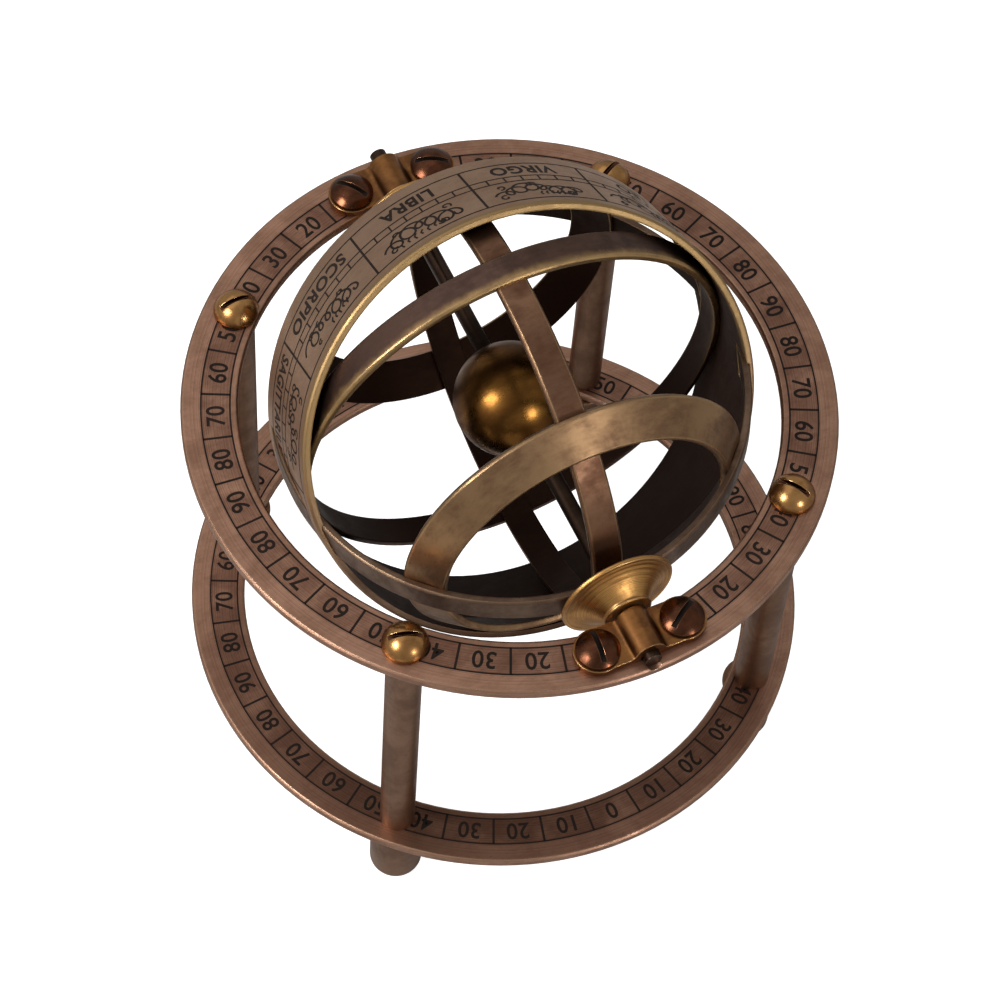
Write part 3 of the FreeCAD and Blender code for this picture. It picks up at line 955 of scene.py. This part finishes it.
print("names", len(NAMES))

# %% [markdown]
# ### The curling figures
#
# Each box also holds a little engraved figure. On so small a band they read as
# curls more than as animals. A figure is drawn here as one running line of
# loops, with a row of thinner legs along one side and a few free curls beside
# it. Each line is a flat ribbon of even width. Every box gets its own rhythm
# from its own numbers, so no two are alike.

# %% Curling figures
FIGURE_AT = (FRONT_LINE + LADDER_FRONT) / 2
STROKE = 0.42 * mm
LEG_STROKE = 0.36 * mm
LOOP_STEPS = 26
CURL_POINTS = 24
CURL_FADE = 30
FREE_CURLS = 5


def stroke(points, width):
    """A ribbon along a flat line of points, as a mesh."""
    curve = bpy.data.curves.new("stroke", "CURVE")
    curve.dimensions = "3D"
    spline = curve.splines.new("POLY")
    spline.points.add(len(points) - 1)
    for spot, (x, y) in zip(spline.points, points):
        spot.co = (x, y, 0, 1)
    line = bpy.data.objects.new("stroke", curve)
    bpy.context.collection.objects.link(line)
    pick(line)
    bpy.ops.object.convert(target="MESH")
    line = bpy.context.object
    bpy.ops.object.mode_set(mode="EDIT")
    bpy.ops.mesh.select_all(action="SELECT")
    bpy.ops.mesh.extrude_edges_move(TRANSFORM_OT_translate={"value": (0, 0, width)})
    bpy.ops.object.mode_set(mode="OBJECT")
    lay_flat(line, points, width)
    return line


def lay_flat(line, points, width):
    """Turns an upright ribbon into a flat one of even width, side to side across its line."""
    count = len(points)
    for number, vertex in enumerate(line.data.vertices):
        at = number % count
        before, after = points[max(at - 1, 0)], points[min(at + 1, count - 1)]
        along = Vector((after[0] - before[0], after[1] - before[1]))
        side = Vector((-along.y, along.x)).normalized() * width / 2
        if number >= count:
            side = -side
        vertex.co = (points[at][0] + side.x, points[at][1] + side.y, 0)


def curly_line(seed, length, height):
    """Points of one running line of loops."""
    chance = random.Random(seed)
    loops = chance.choice((6, 7, 8))
    swell = chance.uniform(0.5, 1.4)
    loop_r = height * chance.uniform(0.26, 0.34)
    points = []
    steps = LOOP_STEPS * loops
    for number in range(steps + 1):
        share = number / steps
        turn = share * loops * 2 * math.pi
        size = loop_r * (0.55 + 0.45 * math.sin(math.pi * share * (1 + swell)) ** 2)
        x = (share - 0.5) * (length - 2 * loop_r) + size * math.cos(turn)
        y = size * math.sin(turn) + height * 0.16 * math.sin(2 * math.pi * share * swell + seed)
        points.append((x, y))
    return points


def free_curl(seed, length, height):
    """A short spiral beside the running line."""
    chance = random.Random(seed)
    x = chance.uniform(-0.4, 0.4) * length
    y = chance.choice((-1, 1)) * height * 0.33
    size = height * chance.uniform(0.10, 0.16)
    start = chance.uniform(0, 2 * math.pi)
    points = []
    for number in range(CURL_POINTS):
        reach = size * (1 - number / CURL_FADE)
        angle = start + number / 4
        points.append((x + reach * math.cos(angle), y + reach * math.sin(angle)))
    return points


def slanted_legs(seed, length, height):
    """A row of short bent strokes along one side of the running line."""
    chance = random.Random(seed)
    side = chance.choice((-1, 1))
    start = chance.uniform(-0.35, -0.1) * length
    gap = chance.uniform(0.055, 0.075) * length
    legs = []
    for number in range(chance.choice((5, 6, 7))):
        x = start + number * gap
        tip = height * chance.uniform(0.40, 0.48)
        knee = (x + 0.4 * gap, side * height * 0.32)
        legs.append([(x, side * height * 0.20), knee, (x + 0.2 * gap, side * tip)])
    return legs


figure_length = 0.82 * box_length
figure_height = 6.2 * mm
for number in range(BOXES):
    box_middle = FIRST_BORDER + BOX_ANGLE / 2 - number * BOX_ANGLE
    drawing = [stroke(curly_line(number, figure_length, figure_height), STROKE)]
    for extra in range(FREE_CURLS):
        drawing.append(stroke(free_curl(100 + 7 * number + extra, figure_length, figure_height), LEG_STROKE))
    for leg in slanted_legs(300 + number, figure_length, figure_height):
        drawing.append(stroke(leg, LEG_STROKE))
    figure = join(drawing)
    zodiac_pieces.append(wrap(figure, box_middle, FIGURE_AT))
print("figures ready")

# %% Join the band's marks
COLURE_TURN = math.radians(-4)
COLURE_HALF = 2.75 * mm


def clear_crossing(marks):
    """Deletes the marks where the level colure passes over and through the band."""
    level_axis = Matrix.Rotation(COLURE_TURN, 3, "Y") @ Vector((0, 0, 1))
    pick(marks)
    bpy.ops.object.mode_set(mode="EDIT")
    bpy.ops.mesh.select_mode(type="FACE")
    bpy.ops.mesh.select_all(action="DESELECT")
    bpy.ops.object.mode_set(mode="OBJECT")
    for face in marks.data.polygons:
        face.select = abs((face.center - sphere_middle).dot(level_axis)) < COLURE_HALF
    bpy.ops.object.mode_set(mode="EDIT")
    bpy.ops.mesh.delete(type="FACE")
    bpy.ops.object.mode_set(mode="OBJECT")


zodiac_marks = join(zodiac_pieces)
clear_crossing(zodiac_marks)
belongs(zodiac_marks, "zodiac_marks", "sphere", etched)
print("zodiac marks", len(zodiac_marks.data.polygons), "faces")

# %% [markdown]
# ## Floor, light and camera
#
# Metal shows what is round it more than it shows itself, so the lights matter
# as much as the colours. A soft panel high at the left and a smaller one low
# at the front draw the two glints on the ball, a large dim panel hangs above
# and behind, and a pale world fills the rest.

# %% Floor
let_go()
bpy.ops.mesh.primitive_plane_add(size=6, location=(0, 0, 0))
floor = bpy.context.object
floor.name = "floor"
floor_paint = bpy.data.materials.new("Pale floor")
floor_paint.use_nodes = True
floor_tree = floor_paint.node_tree
floor_shader = floor_tree.nodes["Principled BSDF"]
floor_shader.inputs["Base Color"].default_value = tone(0.6, 0.6, 0.6)
floor_shader.inputs["Roughness"].default_value = 0.9
floor_shader.inputs["Specular IOR Level"].default_value = 0.1
floor_shader.inputs["Emission Color"].default_value = tone(1.0, 1.0, 1.0)
floor_shader.inputs["Emission Strength"].default_value = 0.84
quiet = node(floor_tree, "BsdfDiffuse", Color=tone(0.48, 0.46, 0.44))
seen = node(floor_tree, "LightPath").outputs["Is Camera Ray"]
both = node(floor_tree, "MixShader", n0=seen, n1=quiet.outputs[0], n2=floor_shader.outputs[0])
floor_tree.links.new(both.outputs[0], floor_tree.nodes["Material Output"].inputs["Surface"])
floor.data.materials.append(floor_paint)

# %% Lights
def panel(name, direction, distance, size, power):
    """A square soft light that looks at the sphere from a direction."""
    data = bpy.data.lights.new(name, "AREA")
    data.size = size
    data.energy = power
    lamp = bpy.data.objects.new(name, data)
    bpy.context.collection.objects.link(lamp)
    lamp.location = sphere_middle + Vector(direction).normalized() * distance
    lamp.rotation_euler = (sphere_middle - lamp.location).to_track_quat("-Z", "Y").to_euler()
    return lamp


panel("left panel", (-0.79, -0.05, 0.60), 0.75, 0.30, 4.5)
panel("front panel", (0.26, -0.91, 0.31), 0.75, 0.16, 1.3)
panel("top panel", (-0.2, 0.55, 1.0), 1.1, 1.1, 1.8)
world = bpy.data.worlds.new("Studio")
world.use_nodes = True
world.node_tree.nodes["Background"].inputs["Color"].default_value = tone(1.0, 1.0, 1.0)
world.node_tree.nodes["Background"].inputs["Strength"].default_value = 0.48
bpy.context.scene.world = world
bpy.context.scene.view_settings.view_transform = "Standard"

# %% Camera
AZIMUTH = math.radians(-29.19)
ELEVATION = math.radians(58.74)
ROLL = math.radians(5.02)
CAMERA_DISTANCE = 596.3 * mm
CAMERA_RIGHT = -1.87 * mm
CAMERA_UP = -16.94 * mm
SENSOR_WIDTH = 36.0
LENS = 124.13
back = Vector((math.sin(AZIMUTH) * math.cos(ELEVATION), -math.cos(AZIMUTH) * math.cos(ELEVATION),
               math.sin(ELEVATION)))
level_right = Vector((0, 0, 1)).cross(back).normalized()
level_up = back.cross(level_right)
right = level_right * math.cos(ROLL) + level_up * math.sin(ROLL)
up = level_up * math.cos(ROLL) - level_right * math.sin(ROLL)
camera_data = bpy.data.cameras.new("camera")
camera_data.sensor_width = SENSOR_WIDTH
camera_data.lens = LENS
camera = bpy.data.objects.new("camera", camera_data)
bpy.context.collection.objects.link(camera)
deck_middle = Vector((0, 0, top_deck))
eye = deck_middle + back * CAMERA_DISTANCE + right * CAMERA_RIGHT + up * CAMERA_UP
turn = Matrix((right, up, back)).transposed().to_4x4()
camera.matrix_world = Matrix.Translation(eye) @ turn
bpy.context.scene.camera = camera
print("camera at", [round(v, 3) for v in eye])
